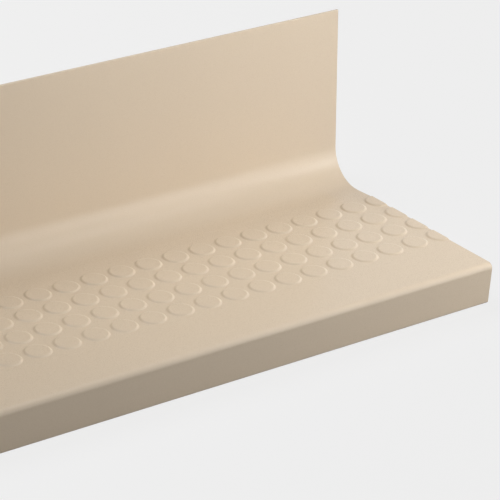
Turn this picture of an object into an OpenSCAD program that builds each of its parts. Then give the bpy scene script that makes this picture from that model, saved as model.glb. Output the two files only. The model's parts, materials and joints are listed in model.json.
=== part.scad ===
// Moulded rubber stair tread with its riser in one piece.
// The section is drawn level, as it is laid on a step: y runs back from the nose to the riser, and z up.
// The piece is then tipped as it rests on a floor by itself, on the lip of its nose and the heel of its cove.

/* [Overall] */
// Length of the piece along the step
length = 914.4; // [300:0.1:1900]
// Depth of the tread, from the front of the nose to the face of the riser
tread_depth = 268.9; // [240:0.1:420]
// Height of the riser above the bed of the tread
riser_height = 200.7; // [90:0.1:320]
// Lean of the riser back from square to the tread, in degrees
riser_lean = 4.7; // [0:0.1:8]
// Drop of the nose, from the top of the tread to the lip
nose_drop = 47.6; // [25:0.1:75]

/* [Walls] */
// Thickness of the tread at the nose
nose_t = 6.4; // [4.8:0.1:9]
// Thickness of the tread at the back edge of the studded field
field_back_t = 4.4; // [3.8:0.1:7]
// Thickness of the plain strip, the cove and the riser
riser_t = 3.2; // [2:0.1:4]
// Thickness of the nose flap where it leaves the tread
flap_root_t = 6.8; // [6:0.1:12]
// Thickness of the nose flap at its lip
flap_tip_t = 5.4; // [4.5:0.1:10]

/* [Nose] */
// Lean of the nose's front face towards the step, in degrees from upright
nose_lean = 1.6; // [0:0.1:8]
// Radius along the top edge of the nose
nose_r = 6.3; // [1:0.1:8]
// Radius along the outer edge of the lip
lip_outer_r = 2.4; // [0.5:0.1:3]
// Radius along the inner edge of the lip
lip_inner_r = 1.2; // [0.4:0.1:1.5]
// Radius of the hinge groove in the inner corner of the nose
hinge_r = 1.6; // [0.8:0.1:2.4]

/* [Cove] */
// Radius of the cove's face, between the tread and the riser
cove_r = 41.3; // [12:0.1:50]
// Radius along both top edges of the riser
riser_edge_r = 0.8; // [0.2:0.1:0.9]
// Depth of the plain strip between the cove and the ramp
strip_depth = 5.6; // [1:0.1:20]
// Depth of the ramp from the plain strip up to the studded field
ramp_depth = 17.3; // [4:0.1:30]

/* [Studs] */
// Number of rows of studs, counted from the riser
stud_rows = 4; // [1:1:4]
// Diameter of a stud across its flat top
stud_top_d = 25.4; // [12:0.1:27.8]
// Diameter of a stud at its foot
stud_foot_d = 29.4; // [28:0.1:29.8]
// Height of a stud above the tread
stud_h = 1.2; // [0.4:0.1:1.8]
// Pitch of the studs, the same along the step and across it
stud_pitch = 35; // [30:0.1:42]

/* [Hidden] */
stud_facets = 64;
arc_facets = 128;
overlap = 1;
seam = 0.005;

function unit(v) = v / norm(v);

// Half the angle between a corner's two sides
function half_angle(before, corner, after) = acos(unit(before - corner) * unit(after - corner)) / 2;

// Centre of the round edge of radius r that touches both sides of a corner
function round_centre(before, corner, after, r) =
    corner + unit(unit(before - corner) + unit(after - corner)) * r / sin(half_angle(before, corner, after));

// A point of the level section, once the piece is tipped
function tipped(p) = [p.x * cos(tip) - p.y * sin(tip), p.x * sin(tip) + p.y * cos(tip)];

// Corners of the level section: y from the riser's face, z from the bed of the tread
nose_top = [-tread_depth, nose_t];
lip_outer = nose_top + nose_drop * [tan(nose_lean), -1];
lip_inner = lip_outer + [flap_tip_t, 0];
root = [nose_top.x + nose_t * tan(nose_lean) + flap_root_t, 0];
heel = [riser_t / cos(riser_lean), 0];
riser_front = [riser_height * tan(riser_lean), riser_height];
riser_back = riser_front + riser_t * [cos(riser_lean), -sin(riser_lean)];
cove = [riser_t * tan(riser_lean), riser_t];

// The cove's face and its back share one centre, so its wall keeps the riser's thickness
heel_r = cove_r + riser_t;
heel_centre = round_centre(root, heel, riser_back, heel_r);
strip_front = [heel_centre.x - strip_depth, riser_t];
field_back = [strip_front.x - ramp_depth, field_back_t];
nose_centre = round_centre(field_back, nose_top, lip_outer, nose_r);
outer_lip_centre = round_centre(nose_top, lip_outer, lip_inner, lip_outer_r);
inner_lip_centre = round_centre(lip_outer, lip_inner, root, lip_inner_r);
top_centre = round_centre(heel, riser_back, riser_front, riser_edge_r);

// Each corner in turn, with the radius of its round edge, or zero where it is sharp
outline = [
    [nose_top, nose_r],
    [lip_outer, lip_outer_r],
    [lip_inner, lip_inner_r],
    [root, 0],
    [heel, heel_r],
    [riser_back, riser_edge_r],
    [riser_front, riser_edge_r],
    [cove, cove_r],
    [strip_front, 0],
    [field_back, 0]
];

// The floor touches the inner lip's round edge and the heel, so the tip follows from these two circles
rest_span = heel_centre - inner_lip_centre;
tip = asin((heel_r - lip_inner_r) / norm(rest_span)) - atan2(rest_span.y, rest_span.x);
floor_z = tipped(heel_centre).y - heel_r;
front_y = min(tipped(nose_centre).x - nose_r, tipped(outer_lip_centre).x - lip_outer_r);
back_y = tipped(top_centre).x + riser_edge_r;

// The field rises from its back edge to the nose. Its first row stands half a pitch in front of that edge, and
// the columns are centred on the length.
field_slope = atan2(nose_t - field_back_t, field_back.x - nose_top.x);
columns = floor(length / stud_pitch) + 1;
rim_slope = (stud_foot_d - stud_top_d) / 2 / stud_h;

// What lies between a corner and its round edge. It is carried past the corner by the overlap, and its disc
// is larger by the seam, so that it crosses both sides cleanly instead of only touching them.
module corner_fill(before, corner, after, r) {
    centre = round_centre(before, corner, after, r);
    reach = r / tan(half_angle(before, corner, after));
    difference() {
        polygon([
            corner + unit(before - corner) * reach,
            corner + unit(corner - centre) * overlap,
            corner + unit(after - corner) * reach,
            centre
        ]);
        translate(centre) circle(r = r + seam, $fn = arc_facets);
    }
}

// A polygon with true arcs at its corners, each given as a point and a radius and taken anticlockwise:
// an inner corner is filled out to its arc, and an outer one is cut back to it
module rounded_polygon(corners) {
    n = len(corners);
    at = [for (i = [0 : n - 1]) [corners[(i + n - 1) % n][0], corners[i][0], corners[(i + 1) % n][0]]];
    inner = [for (c = at) cross(c[1] - c[0], c[2] - c[1]) < 0];
    difference() {
        union() {
            polygon([for (c = corners) c[0]]);
            for (i = [0 : n - 1]) if (corners[i][1] > 0 && inner[i])
                corner_fill(at[i][0], at[i][1], at[i][2], corners[i][1]);
        }
        for (i = [0 : n - 1]) if (corners[i][1] > 0 && !inner[i])
            corner_fill(at[i][0], at[i][1], at[i][2], corners[i][1]);
    }
}

// The level section, with the hinge groove in the inner corner of its nose
module section() {
    difference() {
        rounded_polygon(outline);
        translate(root) circle(r = hinge_r, $fn = arc_facets);
    }
}

// A low round stud, its foot at z = 0, carried down into the tread by the overlap
module stud() {
    foot_r = stud_foot_d / 2 + overlap * rim_slope;
    translate([0, 0, -overlap])
        cylinder(h = overlap + stud_h, r1 = foot_r, r2 = stud_top_d / 2, $fn = stud_facets);
}

// The studs, upright on the sloping field
module studs() {
    for (column = [0 : columns - 1], row = [0 : stud_rows - 1]) {
        x = (column - (columns - 1) / 2) * stud_pitch;
        forward = (row + 0.5) * stud_pitch;
        translate([x, field_back.x, field_back.y])
            rotate([-field_slope, 0, 0])
                translate([0, -forward / cos(field_slope), 0])
                    stud();
    }
}

// The moulded strip, level, cut square to its length through whatever studs stand there
module level_strip() {
    intersection() {
        union() {
            rotate([90, 0, 90])
                linear_extrude(height = length + 2 * stud_foot_d, center = true)
                    section();
            studs();
        }
        translate([0, -tread_depth / 2, riser_height / 2])
            cube([length, 2 * (tread_depth + riser_height), 2 * (riser_height + nose_drop)], center = true);
    }
}

module tread_riser() {
    color("#dcc9b0")
        translate([0, -(front_y + back_y) / 2, -floor_z])
            rotate([tip, 0, 0])
                level_strip();
}

tread_riser();
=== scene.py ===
"""Looks of a one-piece rubber stair tread with riser.

The moulding is drawn as one closed skin in the level position in which it is laid, in millimetres: x
along its length, y back to the riser and z up from the bed of the tread. It is then scaled to metres
and tipped into the position in which it rests, which the frame's record gives.
"""

import json
import logging
import math
from dataclasses import dataclass, field
from enum import Enum

import bmesh
import bpy
from mathutils import Matrix, Vector

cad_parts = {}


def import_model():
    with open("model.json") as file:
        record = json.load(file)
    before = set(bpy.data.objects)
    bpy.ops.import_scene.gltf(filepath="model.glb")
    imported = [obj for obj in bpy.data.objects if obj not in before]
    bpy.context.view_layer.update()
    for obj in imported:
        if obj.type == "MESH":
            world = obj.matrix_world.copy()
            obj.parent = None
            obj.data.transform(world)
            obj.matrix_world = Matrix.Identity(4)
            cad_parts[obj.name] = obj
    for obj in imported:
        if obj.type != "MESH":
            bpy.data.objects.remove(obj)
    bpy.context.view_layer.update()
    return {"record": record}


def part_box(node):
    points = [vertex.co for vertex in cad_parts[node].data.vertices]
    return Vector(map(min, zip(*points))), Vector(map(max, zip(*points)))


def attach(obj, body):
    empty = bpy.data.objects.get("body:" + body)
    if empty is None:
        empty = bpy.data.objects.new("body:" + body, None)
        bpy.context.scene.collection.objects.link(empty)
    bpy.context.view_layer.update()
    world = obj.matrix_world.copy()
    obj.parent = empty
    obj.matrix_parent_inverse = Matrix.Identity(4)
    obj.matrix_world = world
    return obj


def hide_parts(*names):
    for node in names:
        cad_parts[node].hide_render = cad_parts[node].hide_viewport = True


LOG = logging.getLogger("stair_tread")
NODE = "tread_riser"
BODY = "root"
SLOT = "moulded_rubber"
BED_MOUNT = "tread_bed"

# Metres in a millimetre
MM = 0.001
# Points closer than this, in millimetres, are one
MERGE = 0.005
X_AXIS = Vector((1.0, 0.0, 0.0))
UP = Vector((0.0, 0.0, 1.0))
WHITE = (1.0, 1.0, 1.0, 1.0)

# Points that the lamps look at, in millimetres, level
MIDDLE = (150.0, -120.0, 40.0)
RIGHT_END = (400.0, -120.0, 40.0)
LEFT_PART = (-60.0, -120.0, 10.0)


def verts_in(geom: list) -> list[bmesh.types.BMVert]:
    """Picks the vertices out of what an operator made."""
    return [part for part in geom if isinstance(part, bmesh.types.BMVert)]


def edges_in(geom: list) -> list[bmesh.types.BMEdge]:
    """Picks the edges out of what an operator made."""
    return [part for part in geom if isinstance(part, bmesh.types.BMEdge)]


def object_from(mesh: bmesh.types.BMesh, name: str) -> bpy.types.Object:
    """Puts a finished mesh in the scene.

    Args:
        mesh: The mesh, which this uses up.
        name: What the object is called.

    Returns:
        The object, at the origin.
    """
    data = bpy.data.meshes.new(name)
    mesh.to_mesh(data)
    mesh.free()
    made = bpy.data.objects.new(name, data)
    bpy.context.scene.collection.objects.link(made)
    return made


class Turn(Enum):
    """Which way the outline bends at a corner, as it runs round the section with the rubber on its left."""

    LEFT = 1.0
    RIGHT = -1.0


class Form(Enum):
    """What a corner is made into."""

    ROUND = "round edge"
    GROOVE = "groove"


@dataclass(frozen=True)
class Corner:
    """One corner of the section.

    Attributes:
        at: Its place, as (y, z) in millimetres.
        radius: Radius of its round edge or of its groove.
        steps: How many facets that has.
        form: Which of the two it has.
    """

    at: Vector
    radius: float
    steps: int = 1
    form: Form = Form.ROUND

    def half_angle(self, before: Vector, after: Vector) -> float:
        """Half the angle between the corner's two sides, in radians."""
        return (before - self.at).angle(after - self.at) / 2

    def reach(self, before: Vector, after: Vector) -> float:
        """Distance from the corner to where its round edge starts and ends."""
        return self.radius / math.tan(self.half_angle(before, after))

    def turn(self, before: Vector, after: Vector) -> Turn:
        """Finds which way the outline bends here.

        Args:
            before: The corner before this one.
            after: The corner after it.

        Returns:
            The way.
        """
        come = self.at - before
        go = after - self.at
        return Turn.LEFT if come.x * go.y - come.y * go.x > 0 else Turn.RIGHT

    def centre(self, before: Vector, after: Vector) -> Vector:
        """Centre of the round edge."""
        middle = ((before - self.at).normalized() + (after - self.at).normalized()).normalized()
        return self.at + middle * self.radius / math.sin(self.half_angle(before, after))


@dataclass
class Pen:
    """Draws a line of edges, which lies along x, round the section.

    Each move leaves faces behind it. A flat stretch gets an extra line close to each end, which keeps its
    shading flat, unless the stretch is short.

    Attributes:
        mesh: The mesh that is drawn in.
        line: The edges of the line.
        at: Where it is, as (y, z) in millimetres.
        hold: How far from a flat stretch's end its extra line lies, in millimetres.
        short: A stretch is short up to this many times that distance.
    """

    mesh: bmesh.types.BMesh
    line: list[bmesh.types.BMEdge]
    at: Vector
    hold: float
    short: float = 4.0

    def line_to(self, to: Vector) -> None:
        """Draws a flat stretch.

        Args:
            to: Its far end.
        """
        step = to - self.at
        if step.length > self.short * self.hold:
            along = step.normalized() * self.hold
            self._move(self.at + along)
            self._move(to - along)
        self._move(to)

    def pass_corner(self, corner: Corner, before: Vector, after: Vector) -> None:
        """Draws up to a corner and past it.

        Args:
            corner: The corner.
            before: The corner before it.
            after: The corner after it.
        """
        if corner.form is Form.GROOVE:
            self._groove(corner, before, after)
        else:
            self._round(corner, before, after)

    def _round(self, corner: Corner, before: Vector, after: Vector) -> None:
        """Draws up to a corner and round its edge.

        Args:
            corner: The corner.
            before: The corner before it.
            after: The corner after it.
        """
        reach = corner.reach(before, after)
        self.line_to(corner.at + (before - corner.at).normalized() * reach)
        bend = math.pi - 2 * corner.half_angle(before, after)
        turn = corner.turn(before, after)
        self._arc(corner.centre(before, after), turn.value * bend, corner.steps)

    def _groove(self, corner: Corner, before: Vector, after: Vector) -> None:
        """Draws up to an inner corner and round the groove that runs in it.

        Args:
            corner: The corner, which is the groove's centre.
            before: The corner before it.
            after: The corner after it.
        """
        self.line_to(corner.at + (before - corner.at).normalized() * corner.radius)
        bend = 2 * math.pi - 2 * corner.half_angle(before, after)
        self._arc(corner.at, -bend, corner.steps)

    def _move(self, to: Vector) -> None:
        """Extrudes the line straight.

        Args:
            to: The point of the section that it goes to.
        """
        made = bmesh.ops.extrude_edge_only(self.mesh, edges=self.line)["geom"]
        step = to - self.at
        bmesh.ops.translate(self.mesh, vec=(0.0, step.x, step.y), verts=verts_in(made))
        self.line = edges_in(made)
        self.at = to

    def _arc(self, centre: Vector, angle: float, steps: int) -> None:
        """Draws a round stretch.

        Args:
            centre: Its centre.
            angle: How far it turns, in radians, anticlockwise above 0.
            steps: How many facets it has.
        """
        verts = list(dict.fromkeys(vert for edge in self.line for vert in edge.verts))
        made = bmesh.ops.spin(
            self.mesh,
            geom=verts + self.line,
            cent=Vector((0.0, centre.x, centre.y)),
            axis=X_AXIS,
            angle=angle,
            steps=steps,
            use_merge=False,
            use_duplicate=False,
        )["geom_last"]
        self.line = edges_in(made)
        spoke = self.at - centre
        spoke.rotate(Matrix.Rotation(angle, 2))
        self.at = centre + spoke


@dataclass(frozen=True)
class SectionSizes:
    """Sizes of the level section, in millimetres and degrees.

    Attributes:
        tread_depth: From the front of the nose to the riser's face.
        riser_height: Height of the riser above the bed.
        riser_lean: Lean of the riser back from square to the tread.
        nose_drop: Drop of the nose, from the tread's top to the lip.
        nose_t: Thickness of the tread at the nose.
        field_back_t: Thickness of the tread at the back of the studded field.
        riser_t: Thickness of the plain strip, the cove and the riser.
        flap_root_t: Thickness of the nose flap where it leaves the tread.
        flap_tip_t: Thickness of the nose flap at its lip.
        nose_lean: Lean of the nose's front from upright, its lip further back than its top.
        nose_r: Radius along the nose's top edge.
        lip_outer_r: Radius along the lip's outer edge.
        lip_inner_r: Radius along the lip's inner edge.
        hinge_r: Radius of the groove in the nose's inner corner.
        cove_r: Radius of the cove's face.
        riser_edge_r: Radius along the riser's top edges.
        strip_depth: Depth of the plain strip in front of the cove.
        ramp_depth: Depth of the ramp from the strip up to the field.
        soft_r: Radius that softens the foot of the ramp.
    """

    tread_depth: float = 268.9
    riser_height: float = 200.7
    riser_lean: float = 4.7
    nose_drop: float = 47.6
    nose_t: float = 6.4
    field_back_t: float = 4.4
    riser_t: float = 3.2
    flap_root_t: float = 6.8
    flap_tip_t: float = 5.4
    nose_lean: float = 1.6
    nose_r: float = 6.3
    lip_outer_r: float = 2.4
    lip_inner_r: float = 1.2
    hinge_r: float = 1.6
    cove_r: float = 41.3
    riser_edge_r: float = 0.8
    strip_depth: float = 5.6
    ramp_depth: float = 17.3
    soft_r: float = 25.0

    @property
    def nose_top(self) -> Vector:
        """Corner between the tread's top and the nose's front."""
        return Vector((-self.tread_depth, self.nose_t))

    @property
    def lip_outer(self) -> Vector:
        """Outer corner of the lip."""
        lean = math.tan(math.radians(self.nose_lean))
        return self.nose_top + self.nose_drop * Vector((lean, -1.0))

    @property
    def lip_inner(self) -> Vector:
        """Inner corner of the lip."""
        return self.lip_outer + Vector((self.flap_tip_t, 0.0))

    @property
    def root(self) -> Vector:
        """Inner corner between the flap and the bed, where the hinge groove runs."""
        lean = math.tan(math.radians(self.nose_lean))
        return Vector((self.nose_top.x + self.nose_t * lean + self.flap_root_t, 0.0))

    @property
    def heel(self) -> Vector:
        """Corner between the bed and the riser's back."""
        return Vector((self.riser_t / math.cos(math.radians(self.riser_lean)), 0.0))

    @property
    def riser_front(self) -> Vector:
        """Top corner of the riser's face."""
        return Vector((self.riser_height * math.tan(math.radians(self.riser_lean)), self.riser_height))

    @property
    def riser_back(self) -> Vector:
        """Top corner of the riser's back."""
        lean = math.radians(self.riser_lean)
        return self.riser_front + self.riser_t * Vector((math.cos(lean), -math.sin(lean)))

    @property
    def cove(self) -> Vector:
        """Corner between the riser's face and the plain strip."""
        return Vector((self.riser_t * math.tan(math.radians(self.riser_lean)), self.riser_t))

    @property
    def cove_centre(self) -> Vector:
        """Shared centre of the cove's face and of the heel."""
        corner = Corner(self.heel, self.cove_r + self.riser_t)
        return corner.centre(self.root, self.riser_back)

    @property
    def strip_front(self) -> Vector:
        """Front edge of the plain strip, where the ramp starts."""
        return Vector((self.cove_centre.x - self.strip_depth, self.riser_t))

    @property
    def field_back(self) -> Vector:
        """Back edge of the studded field, at the top of the ramp."""
        return Vector((self.strip_front.x - self.ramp_depth, self.field_back_t))

    @property
    def field_slope(self) -> float:
        """Slope of the field up to the nose, in radians."""
        run = self.field_back - self.nose_top
        return math.atan2(-run.y, run.x)

    @property
    def bed_centre(self) -> Vector:
        """Middle of the flat bed, between the hinge groove and the heel."""
        return Vector(((self.root.x + self.hinge_r + self.cove_centre.x) / 2, 0.0))


@dataclass(frozen=True)
class StudSizes:
    """Sizes of the studs and of their lattice, in millimetres.

    Attributes:
        rows: Number of rows, counted from the riser.
        pitch: Distance between studs, along the piece and across it.
        top_d: Diameter across the flat top.
        foot_d: Diameter at the foot.
        height: Height above the field.
        rim_r: How far the rounding of the rim reaches from its edge.
        rim_steps: How many facets that rounding has.
        foot_fillet: How far the fillet at the foot reaches from its edge.
        foot_steps: How many facets that fillet has.
        hold: Width of the narrow flat rings round the foot and inside the rim, which keep the shading flat.
        side_steps: How many facets lie along each side of a stud's square tile.
    """

    rows: int = 4
    pitch: float = 35.0
    top_d: float = 25.4
    foot_d: float = 29.4
    height: float = 1.2
    rim_r: float = 0.7
    rim_steps: int = 3
    foot_fillet: float = 0.5
    foot_steps: int = 2
    hold: float = 0.8
    side_steps: int = 12

    @property
    def around(self) -> int:
        """Number of facets round a stud: those along the four sides of its tile."""
        return 4 * self.side_steps

    @property
    def corner_turn(self) -> float:
        """Turn that brings the ring's first point on to a corner of the tile, in radians."""
        return math.radians(45.0)


@dataclass
class LevelFrame:
    """The move from the level drawing, in millimetres, to the frame in which the piece rests, in metres.

    Attributes:
        sizes: The section, whose bed the record places.
        record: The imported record.
        matrix: The move, worked out from them.
    """

    sizes: SectionSizes
    record: dict
    matrix: Matrix = field(init=False)

    def __post_init__(self) -> None:
        """Reads the place and the direction of the tread's bed."""
        bed = next(mount for mount in self.record["mounts"] if mount["name"] == BED_MOUNT)
        axis = Vector(bed["axis"])
        tip = math.atan2(axis.y, -axis.z)
        centre = self.sizes.bed_centre
        level = Vector((0.0, centre.x, centre.y))
        turn = Matrix.Rotation(tip, 4, "X") @ Matrix.Scale(MM, 4)
        self.matrix = Matrix.Translation(Vector(bed["pos_m"])) @ turn @ Matrix.Translation(-level)


@dataclass(frozen=True)
class RubberFinish:
    """Matte beige moulded rubber: an even colour with faint clouds, a fine grain and a soft gloss.

    Attributes:
        colour: Its colour, linear.
        cloud: How far the clouds lighten and darken it, as a share.
        cloud_scale: Scale of the clouds, per metre.
        cloud_detail: How many finer layers the clouds have.
        grain_scale: Scale of the grain, per metre.
        grain_detail: How many finer layers the grain has.
        grain_depth: Depth of the grain, in metres.
        roughness: Mean roughness.
        roughness_swing: How far the grain takes the roughness up and down.
        specular: Strength of the gloss.
    """

    colour: tuple[float, float, float] = (0.70, 0.581, 0.442)
    cloud: float = 0.02
    cloud_scale: float = 6.0
    cloud_detail: float = 3.0
    grain_scale: float = 1400.0
    grain_detail: float = 2.0
    grain_depth: float = 0.00004
    roughness: float = 0.28
    roughness_swing: float = 0.05
    specular: float = 0.3

    def make(self) -> bpy.types.Material:
        """Builds the material.

        Returns:
            The material, on Object coordinates.
        """
        material = bpy.data.materials.new(SLOT)
        material.use_nodes = True
        nodes = material.node_tree.nodes
        links = material.node_tree.links
        shader = nodes["Principled BSDF"]
        shader.inputs["Specular IOR Level"].default_value = self.specular
        place = nodes.new("ShaderNodeTexCoord")
        cloud = self._noise(nodes, self.cloud_scale, self.cloud_detail)
        links.new(place.outputs["Object"], cloud.inputs["Vector"])
        tint = nodes.new("ShaderNodeMix")
        tint.data_type = "RGBA"
        tint.inputs["A"].default_value = self._tint(1 - self.cloud)
        tint.inputs["B"].default_value = self._tint(1 + self.cloud)
        links.new(cloud.outputs["Fac"], tint.inputs["Factor"])
        links.new(tint.outputs["Result"], shader.inputs["Base Color"])
        grain = self._noise(nodes, self.grain_scale, self.grain_detail)
        links.new(place.outputs["Object"], grain.inputs["Vector"])
        spread = nodes.new("ShaderNodeMapRange")
        spread.inputs["To Min"].default_value = self.roughness - self.roughness_swing
        spread.inputs["To Max"].default_value = self.roughness + self.roughness_swing
        links.new(grain.outputs["Fac"], spread.inputs["Value"])
        links.new(spread.outputs["Result"], shader.inputs["Roughness"])
        bump = nodes.new("ShaderNodeBump")
        bump.inputs["Distance"].default_value = self.grain_depth
        links.new(grain.outputs["Fac"], bump.inputs["Height"])
        links.new(bump.outputs["Normal"], shader.inputs["Normal"])
        return material

    def _tint(self, level: float) -> tuple[float, float, float, float]:
        """The colour, made lighter or darker by a factor."""
        red, green, blue = self.colour
        return (red * level, green * level, blue * level, 1.0)

    @staticmethod
    def _noise(nodes: bpy.types.Nodes, scale: float, detail: float) -> bpy.types.Node:
        """Adds a noise texture.

        Args:
            nodes: The material's nodes.
            scale: Its scale.
            detail: Its detail.

        Returns:
            Its node.
        """
        noise = nodes.new("ShaderNodeTexNoise")
        noise.inputs["Scale"].default_value = scale
        noise.inputs["Detail"].default_value = detail
        return noise


@dataclass
class Moulding:
    """The rubber moulding: tread, studs, hanging nose, cove and riser in one skin.

    Attributes:
        length: Its length, in millimetres.
        sizes: Its section.
        studs: Its studs.
        level: The move to its resting place.
        finish: Its rubber.
        name: What the piece is called.
        hold: How far from a flat stretch's end its extra line lies, in millimetres.
        crease: Edges that turn by this or more, in radians, stay sharp.
        nose_steps: Facets round the nose's top edge.
        lip_steps: Facets round the lip's outer edge.
        edge_steps: Facets round the lip's inner edge and the riser's top edges.
        groove_steps: Facets round the hinge groove.
        cove_steps: Facets round the cove's face and round the heel.
        ramp_steps: Facets round the softened foot of the ramp.
    """

    length: float
    sizes: SectionSizes
    studs: StudSizes
    level: LevelFrame
    finish: RubberFinish
    name: str = "tread_riser_moulding"
    hold: float = 1.2
    crease: float = math.radians(35.0)
    nose_steps: int = 12
    lip_steps: int = 5
    edge_steps: int = 4
    groove_steps: int = 14
    cove_steps: int = 26
    ramp_steps: int = 3

    def build(self) -> bpy.types.Object:
        """Makes the moulding and dresses it in its rubber.

        Returns:
            The finished piece, at rest.
        """
        mesh = bmesh.new()
        self._lay_field(mesh)
        self._draw_round(mesh, self._front_line(mesh))
        bmesh.ops.remove_doubles(mesh, verts=mesh.verts, dist=MERGE)
        self._cut_ends(mesh)
        bmesh.ops.recalc_face_normals(mesh, faces=mesh.faces)
        bmesh.ops.transform(mesh, matrix=self.level.matrix, verts=mesh.verts)
        self._smooth(mesh)
        piece = object_from(mesh, self.name)
        piece.data.materials.append(self.finish.make())
        return piece

    def _tile(self, mesh: bmesh.types.BMesh) -> list:
        """Makes one square of the field with its stud, on the plane z = 0 round the origin.

        Args:
            mesh: The mesh that it goes in.

        Returns:
            All of its vertices, edges and faces.
        """
        studs = self.studs
        steps = studs.side_steps
        bmesh.ops.create_grid(mesh, x_segments=steps, y_segments=steps, size=studs.pitch / 2)
        bmesh.ops.delete(mesh, geom=mesh.faces[:], context="FACES_KEEP_BOUNDARY")
        ring = bmesh.ops.create_circle(mesh, segments=studs.around, radius=studs.foot_d / 2 + studs.hold)
        bmesh.ops.rotate(mesh, verts=ring["verts"], matrix=Matrix.Rotation(studs.corner_turn, 3, "Z"))
        loop = list(dict.fromkeys(edge for vert in ring["verts"] for edge in vert.link_edges))
        bmesh.ops.bridge_loops(mesh, edges=mesh.edges[:])
        foot = self._ring(mesh, loop, studs.foot_d / (studs.foot_d + 2 * studs.hold), 0.0)
        rim = self._ring(mesh, foot, studs.top_d / studs.foot_d, studs.height)
        bmesh.ops.contextual_create(mesh, geom=rim)
        self._soften(mesh, foot, studs.foot_fillet, studs.foot_steps)
        self._soften(mesh, rim, studs.rim_r, studs.rim_steps)
        top = [max(mesh.faces, key=lambda face: len(face.verts))]
        bmesh.ops.inset_region(mesh, faces=top, thickness=studs.hold, use_even_offset=True)
        return mesh.verts[:] + mesh.edges[:] + mesh.faces[:]

    @staticmethod
    def _ring(
        mesh: bmesh.types.BMesh, loop: list[bmesh.types.BMEdge], scale: float, lift: float
    ) -> list[bmesh.types.BMEdge]:
        """Extrudes a loop of edges into the next ring.

        Args:
            mesh: The mesh.
            loop: The loop's edges.
            scale: Ratio of the new ring's radius to the old one's.
            lift: How far the new ring stands above the old one.

        Returns:
            The new ring's edges.
        """
        made = bmesh.ops.extrude_edge_only(mesh, edges=loop)["geom"]
        verts = verts_in(made)
        bmesh.ops.scale(mesh, vec=(scale, scale, 1.0), verts=verts)
        bmesh.ops.translate(mesh, vec=(0.0, 0.0, lift), verts=verts)
        return edges_in(made)

    @staticmethod
    def _soften(mesh: bmesh.types.BMesh, loop: list[bmesh.types.BMEdge], offset: float, steps: int) -> None:
        """Rounds a loop of edges.

        Args:
            mesh: The mesh.
            loop: The loop's edges.
            offset: How far the rounding reaches from them.
            steps: How many facets it has.
        """
        bmesh.ops.bevel(
            mesh, geom=loop, offset=offset, segments=steps, profile=0.5, affect="EDGES", material=-1
        )

    def _lay_field(self, mesh: bmesh.types.BMesh) -> None:
        """Lays the studded field, one square for each stud, on its slope.

        Args:
            mesh: The empty mesh that it goes in.
        """
        pitch = self.studs.pitch
        tile = self._tile(mesh)
        columns = math.floor(self.length / pitch) + 1
        for column in range(columns):
            for row in range(self.studs.rows):
                if column or row:
                    place = Vector((column * pitch, -row * pitch, 0.0))
                    copy = bmesh.ops.duplicate(mesh, geom=tile)["geom"]
                    bmesh.ops.translate(mesh, vec=place, verts=verts_in(copy))
        bmesh.ops.remove_doubles(mesh, verts=mesh.verts, dist=MERGE)
        slope = self.sizes.field_slope
        back = self.sizes.field_back
        centre = Matrix.Translation((-(columns - 1) / 2 * pitch, -pitch / 2, 0.0))
        stretch = Matrix.Scale(1 / math.cos(slope), 4, (0.0, 1.0, 0.0))
        tilt = Matrix.Translation((0.0, back.x, back.y)) @ Matrix.Rotation(-slope, 4, "X")
        bmesh.ops.transform(mesh, matrix=tilt @ stretch @ centre, verts=mesh.verts)

    @staticmethod
    def _front_line(mesh: bmesh.types.BMesh) -> list[bmesh.types.BMEdge]:
        """Finds the front edge of the field.

        Args:
            mesh: The mesh, with only the field in it.

        Returns:
            The edges along it.
        """
        front = min(vert.co.y for vert in mesh.verts)
        return [edge for edge in mesh.edges if all(vert.co.y - front < MERGE for vert in edge.verts)]

    def _corners(self) -> list[Corner]:
        """Lists the section's corners in turn.

        Returns:
            The corners, from the nose round to the ramp.
        """
        sizes = self.sizes
        return [
            Corner(sizes.nose_top, sizes.nose_r, self.nose_steps),
            Corner(sizes.lip_outer, sizes.lip_outer_r, self.lip_steps),
            Corner(sizes.lip_inner, sizes.lip_inner_r, self.edge_steps),
            Corner(sizes.root, sizes.hinge_r, self.groove_steps, Form.GROOVE),
            Corner(sizes.heel, sizes.cove_r + sizes.riser_t, self.cove_steps),
            Corner(sizes.riser_back, sizes.riser_edge_r, self.edge_steps),
            Corner(sizes.riser_front, sizes.riser_edge_r, self.edge_steps),
            Corner(sizes.cove, sizes.cove_r, self.cove_steps),
            Corner(sizes.strip_front, sizes.soft_r, self.ramp_steps),
        ]

    def _draw_round(self, mesh: bmesh.types.BMesh, line: list[bmesh.types.BMEdge]) -> None:
        """Draws the field's front edge out round the whole section, back to the field's back edge.

        Args:
            mesh: The mesh.
            line: The edges along the field's front.
        """
        slope = self.sizes.field_slope
        run = self.studs.rows * self.studs.pitch
        start = self.sizes.field_back + run * Vector((-1.0, math.tan(slope)))
        pen = Pen(mesh, line, start, self.hold)
        corners = self._corners()
        places = [start] + [corner.at for corner in corners] + [self.sizes.field_back]
        for corner, before, after in zip(corners, places, places[2:]):
            pen.pass_corner(corner, before, after)
        pen.line_to(self.sizes.field_back)

    def _cut_ends(self, mesh: bmesh.types.BMesh) -> None:
        """Cuts both ends square, through the studs there, and closes them.

        Args:
            mesh: The closed ring of the section.
        """
        for side in (-1.0, 1.0):
            geom = mesh.verts[:] + mesh.edges[:] + mesh.faces[:]
            place = Vector((side * self.length / 2, 0.0, 0.0))
            bmesh.ops.bisect_plane(
                mesh, geom=geom, dist=MERGE, plane_co=place, plane_no=side * X_AXIS, clear_outer=True
            )
            rim = [edge for edge in mesh.edges if edge.is_boundary and side * edge.verts[0].co.x > 0]
            bmesh.ops.contextual_create(mesh, geom=rim)

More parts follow.
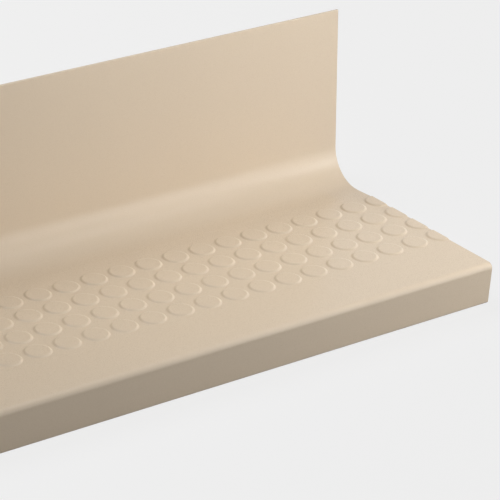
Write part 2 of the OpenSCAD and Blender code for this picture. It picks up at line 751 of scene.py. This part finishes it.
    def _smooth(self, mesh: bmesh.types.BMesh) -> None:
        """Smooths the skin and keeps its sharp edges, such as those round the cut ends.

        Args:
            mesh: The finished mesh.
        """
        for face in mesh.faces:
            face.smooth = True
        for edge in mesh.edges:
            edge.smooth = edge.calc_face_angle(0.0) < self.crease


@dataclass(frozen=True)
class Softbox:
    """A square lamp that looks at a point of the level frame.

    Attributes:
        name: What it is called.
        azimuth: Its direction from the point, in degrees from the piece's length towards the riser.
        height: How high it stands over the point, in degrees.
        distance: How far off it stands, in metres.
        side: Length of its side, in metres.
        power: Its power, in watts.
        target: The point that it looks at, in millimetres, level.
    """

    name: str
    azimuth: float
    height: float
    distance: float
    side: float
    power: float
    target: tuple[float, float, float] = MIDDLE

    def make(self, level: LevelFrame) -> bpy.types.Object:
        """Adds the lamp.

        Args:
            level: The move from the level frame.

        Returns:
            The lamp.
        """
        light = bpy.data.lights.new(self.name, "AREA")
        light.shape = "SQUARE"
        light.size = self.side
        light.energy = self.power
        lamp = bpy.data.objects.new(self.name, light)
        lamp.visible_camera = False
        lift = Matrix.Rotation(-math.radians(self.height), 3, "Y")
        aim = Matrix.Rotation(math.radians(self.azimuth), 3, "Z") @ lift @ X_AXIS
        aim.rotate(level.matrix.to_quaternion())
        lamp.location = level.matrix @ Vector(self.target) + aim * self.distance
        lamp.rotation_mode = "QUATERNION"
        lamp.rotation_quaternion = aim.to_track_quat("Z", "Y")
        bpy.context.scene.collection.objects.link(lamp)
        return lamp


@dataclass
class Studio:
    """The pale floor, the world and the lamps.

    Attributes:
        level: The move from the level frame.
        piece: The piece that is lit.
        floor_side: Length of the floor's side, in metres.
        pale: Brightness of the floor and the world where they are seen, straight or in gloss.
        glow: Share of the seen floor that glows evenly. The rest shows the piece's shadow.
        bounce: How much of its light the floor throws back on the piece.
        world_strength: Brightness of the world as a light.
        piece_softboxes: Lamps that light the piece alone, so that they leave no pools on the floor.
        floor_softbox: The lamp that lights the floor too, and throws the piece's shadow on it.
    """

    level: LevelFrame
    piece: bpy.types.Object
    floor_side: float = 24.0
    pale: float = 0.95
    glow: float = 0.86
    bounce: float = 0.7
    world_strength: float = 0.05
    piece_softboxes: tuple[Softbox, ...] = (
        Softbox("key_softbox", -30.0, 20.0, 0.7, 0.2, 1.50, RIGHT_END),
        Softbox("end_softbox", -60.0, 52.0, 0.7, 0.35, 0.88, RIGHT_END),
        Softbox("top_softbox", -90.0, 70.0, 0.7, 0.5, 1.46),
        Softbox("left_softbox", -150.0, 12.0, 0.7, 0.5, 0.40, LEFT_PART),
        Softbox("low_softbox", -50.0, 5.0, 1.1, 0.6, 1.68),
        Softbox("front_softbox", -60.0, 12.0, 3.0, 1.6, 13.3),
        Softbox("corner_softbox", -30.0, 12.0, 3.0, 1.6, 12.2),
        Softbox("side_softbox", 0.0, 12.0, 3.0, 1.6, 22.8),
        Softbox("rear_softbox", 105.0, 10.0, 3.0, 1.6, 45.0),
    )
    floor_softbox: Softbox = Softbox("high_softbox", 120.0, 64.0, 3.0, 1.6, 29.6)

    def build(self) -> None:
        """Makes the floor, the world and the lamps."""
        self._floor()
        self._world()
        alone = bpy.data.collections.new("piece_alone")
        alone.objects.link(self.piece)
        for softbox in self.piece_softboxes:
            softbox.make(self.level).light_linking.receiver_collection = alone
        self.floor_softbox.make(self.level)
        bpy.context.scene.view_settings.view_transform = "Standard"

    def _floor(self) -> None:
        """Lays the floor under the piece."""
        mesh = bmesh.new()
        bmesh.ops.create_grid(mesh, x_segments=1, y_segments=1, size=self.floor_side / 2)
        floor = object_from(mesh, "floor")
        floor.data.materials.append(self._floor_paint())

    def _floor_paint(self) -> bpy.types.Material:
        """Makes a floor that looks pale and even, and throws back less light than it shows.

        Returns:
            The material.
        """
        material = bpy.data.materials.new("pale_floor")
        material.use_nodes = True
        tree = material.node_tree
        tree.nodes.clear()
        seen = self._seen(tree)
        paint = tree.nodes.new("ShaderNodeBsdfDiffuse")
        glow = tree.nodes.new("ShaderNodeEmission")
        glow.inputs["Strength"].default_value = self.pale
        mix = tree.nodes.new("ShaderNodeMixShader")
        out = tree.nodes.new("ShaderNodeOutputMaterial")
        tree.links.new(self._choose(tree, seen, self.bounce, self.pale), paint.inputs["Color"])
        tree.links.new(self._choose(tree, seen, 0.0, self.glow), mix.inputs["Fac"])
        tree.links.new(paint.outputs["BSDF"], mix.inputs[1])
        tree.links.new(glow.outputs["Emission"], mix.inputs[2])
        tree.links.new(mix.outputs["Shader"], out.inputs["Surface"])
        return material

    def _world(self) -> None:
        """Lights the scene evenly from all round, and shows a pale backdrop."""
        world = bpy.data.worlds.new("studio_world")
        world.use_nodes = True
        tree = world.node_tree
        back = tree.nodes["Background"]
        back.inputs["Color"].default_value = WHITE
        strength = self._choose(tree, self._seen(tree), self.world_strength, self.pale)
        tree.links.new(strength, back.inputs["Strength"])
        bpy.context.scene.world = world

    @staticmethod
    def _seen(tree: bpy.types.NodeTree) -> bpy.types.NodeSocket:
        """Adds nodes that tell the rays that see a surface from those that carry its light.

        Args:
            tree: The material's or the world's nodes.

        Returns:
            A socket that is 1 for the camera's rays and for reflected ones, and otherwise 0.
        """
        path = tree.nodes.new("ShaderNodeLightPath")
        either = tree.nodes.new("ShaderNodeMath")
        either.operation = "MAXIMUM"
        tree.links.new(path.outputs["Is Camera Ray"], either.inputs[0])
        tree.links.new(path.outputs["Is Glossy Ray"], either.inputs[1])
        return either.outputs["Value"]

    @staticmethod
    def _choose(
        tree: bpy.types.NodeTree, seen: bpy.types.NodeSocket, no: float, yes: float
    ) -> bpy.types.NodeSocket:
        """Adds a node that gives one of two values.

        Args:
            tree: The material's or the world's nodes.
            seen: The socket that chooses.
            no: The value where it is 0.
            yes: The value where it is 1.

        Returns:
            The value's socket.
        """
        pick = tree.nodes.new("ShaderNodeMapRange")
        pick.inputs["To Min"].default_value = no
        pick.inputs["To Max"].default_value = yes
        tree.links.new(seen, pick.inputs["Value"])
        return pick.outputs["Result"]


@dataclass(frozen=True)
class PhotoCamera:
    """The camera, placed in the level frame as the photograph was taken.

    Attributes:
        place: Where it stands, in millimetres, level.
        azimuth: Its turn about z, in degrees.
        elevation: How far down it looks, in degrees.
        roll: Its roll, in degrees.
        lens: Focal length, in millimetres.
        sensor: Width of the sensor, in millimetres.
    """

    place: tuple[float, float, float] = (-1493.1, -2259.0, 1331.4)
    azimuth: float = -39.056
    elevation: float = 25.567
    roll: float = 3.694
    lens: float = 206.6
    sensor: float = 36.0

    def make(self, level: LevelFrame) -> None:
        """Adds the camera and makes it the scene's.

        Args:
            level: The move from the level frame.
        """
        around = math.radians(self.azimuth)
        down = math.radians(self.elevation)
        flat = math.cos(down)
        back = Vector((math.sin(around) * flat, -math.cos(around) * flat, math.sin(down)))
        right = UP.cross(back).normalized()
        up = back.cross(right)
        turn = Matrix((right, up, back)).transposed() @ Matrix.Rotation(math.radians(self.roll), 3, "Z")
        lens = bpy.data.cameras.new("photo_camera")
        lens.sensor_fit = "HORIZONTAL"
        lens.sensor_width = self.sensor
        lens.lens = self.lens
        camera = bpy.data.objects.new("photo_camera", lens)
        camera.rotation_mode = "QUATERNION"
        camera.rotation_quaternion = level.matrix.to_quaternion() @ turn.to_quaternion()
        camera.location = level.matrix @ Vector(self.place)
        bpy.context.scene.collection.objects.link(camera)
        bpy.context.scene.camera = camera


def main() -> None:
    """Builds the moulding, the studio and the camera."""
    logging.basicConfig(level=logging.INFO, format="%(message)s")
    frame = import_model()
    sizes = SectionSizes()
    level = LevelFrame(sizes, frame["record"])
    low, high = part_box(NODE)
    moulding = Moulding((high.x - low.x) / MM, sizes, StudSizes(), level, RubberFinish())
    piece = moulding.build()
    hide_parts(NODE)
    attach(piece, BODY)
    LOG.info("%s: %d faces", piece.name, len(piece.data.polygons))
    Studio(level, piece).build()
    PhotoCamera().make(level)


if __name__ == "__main__":
    main()
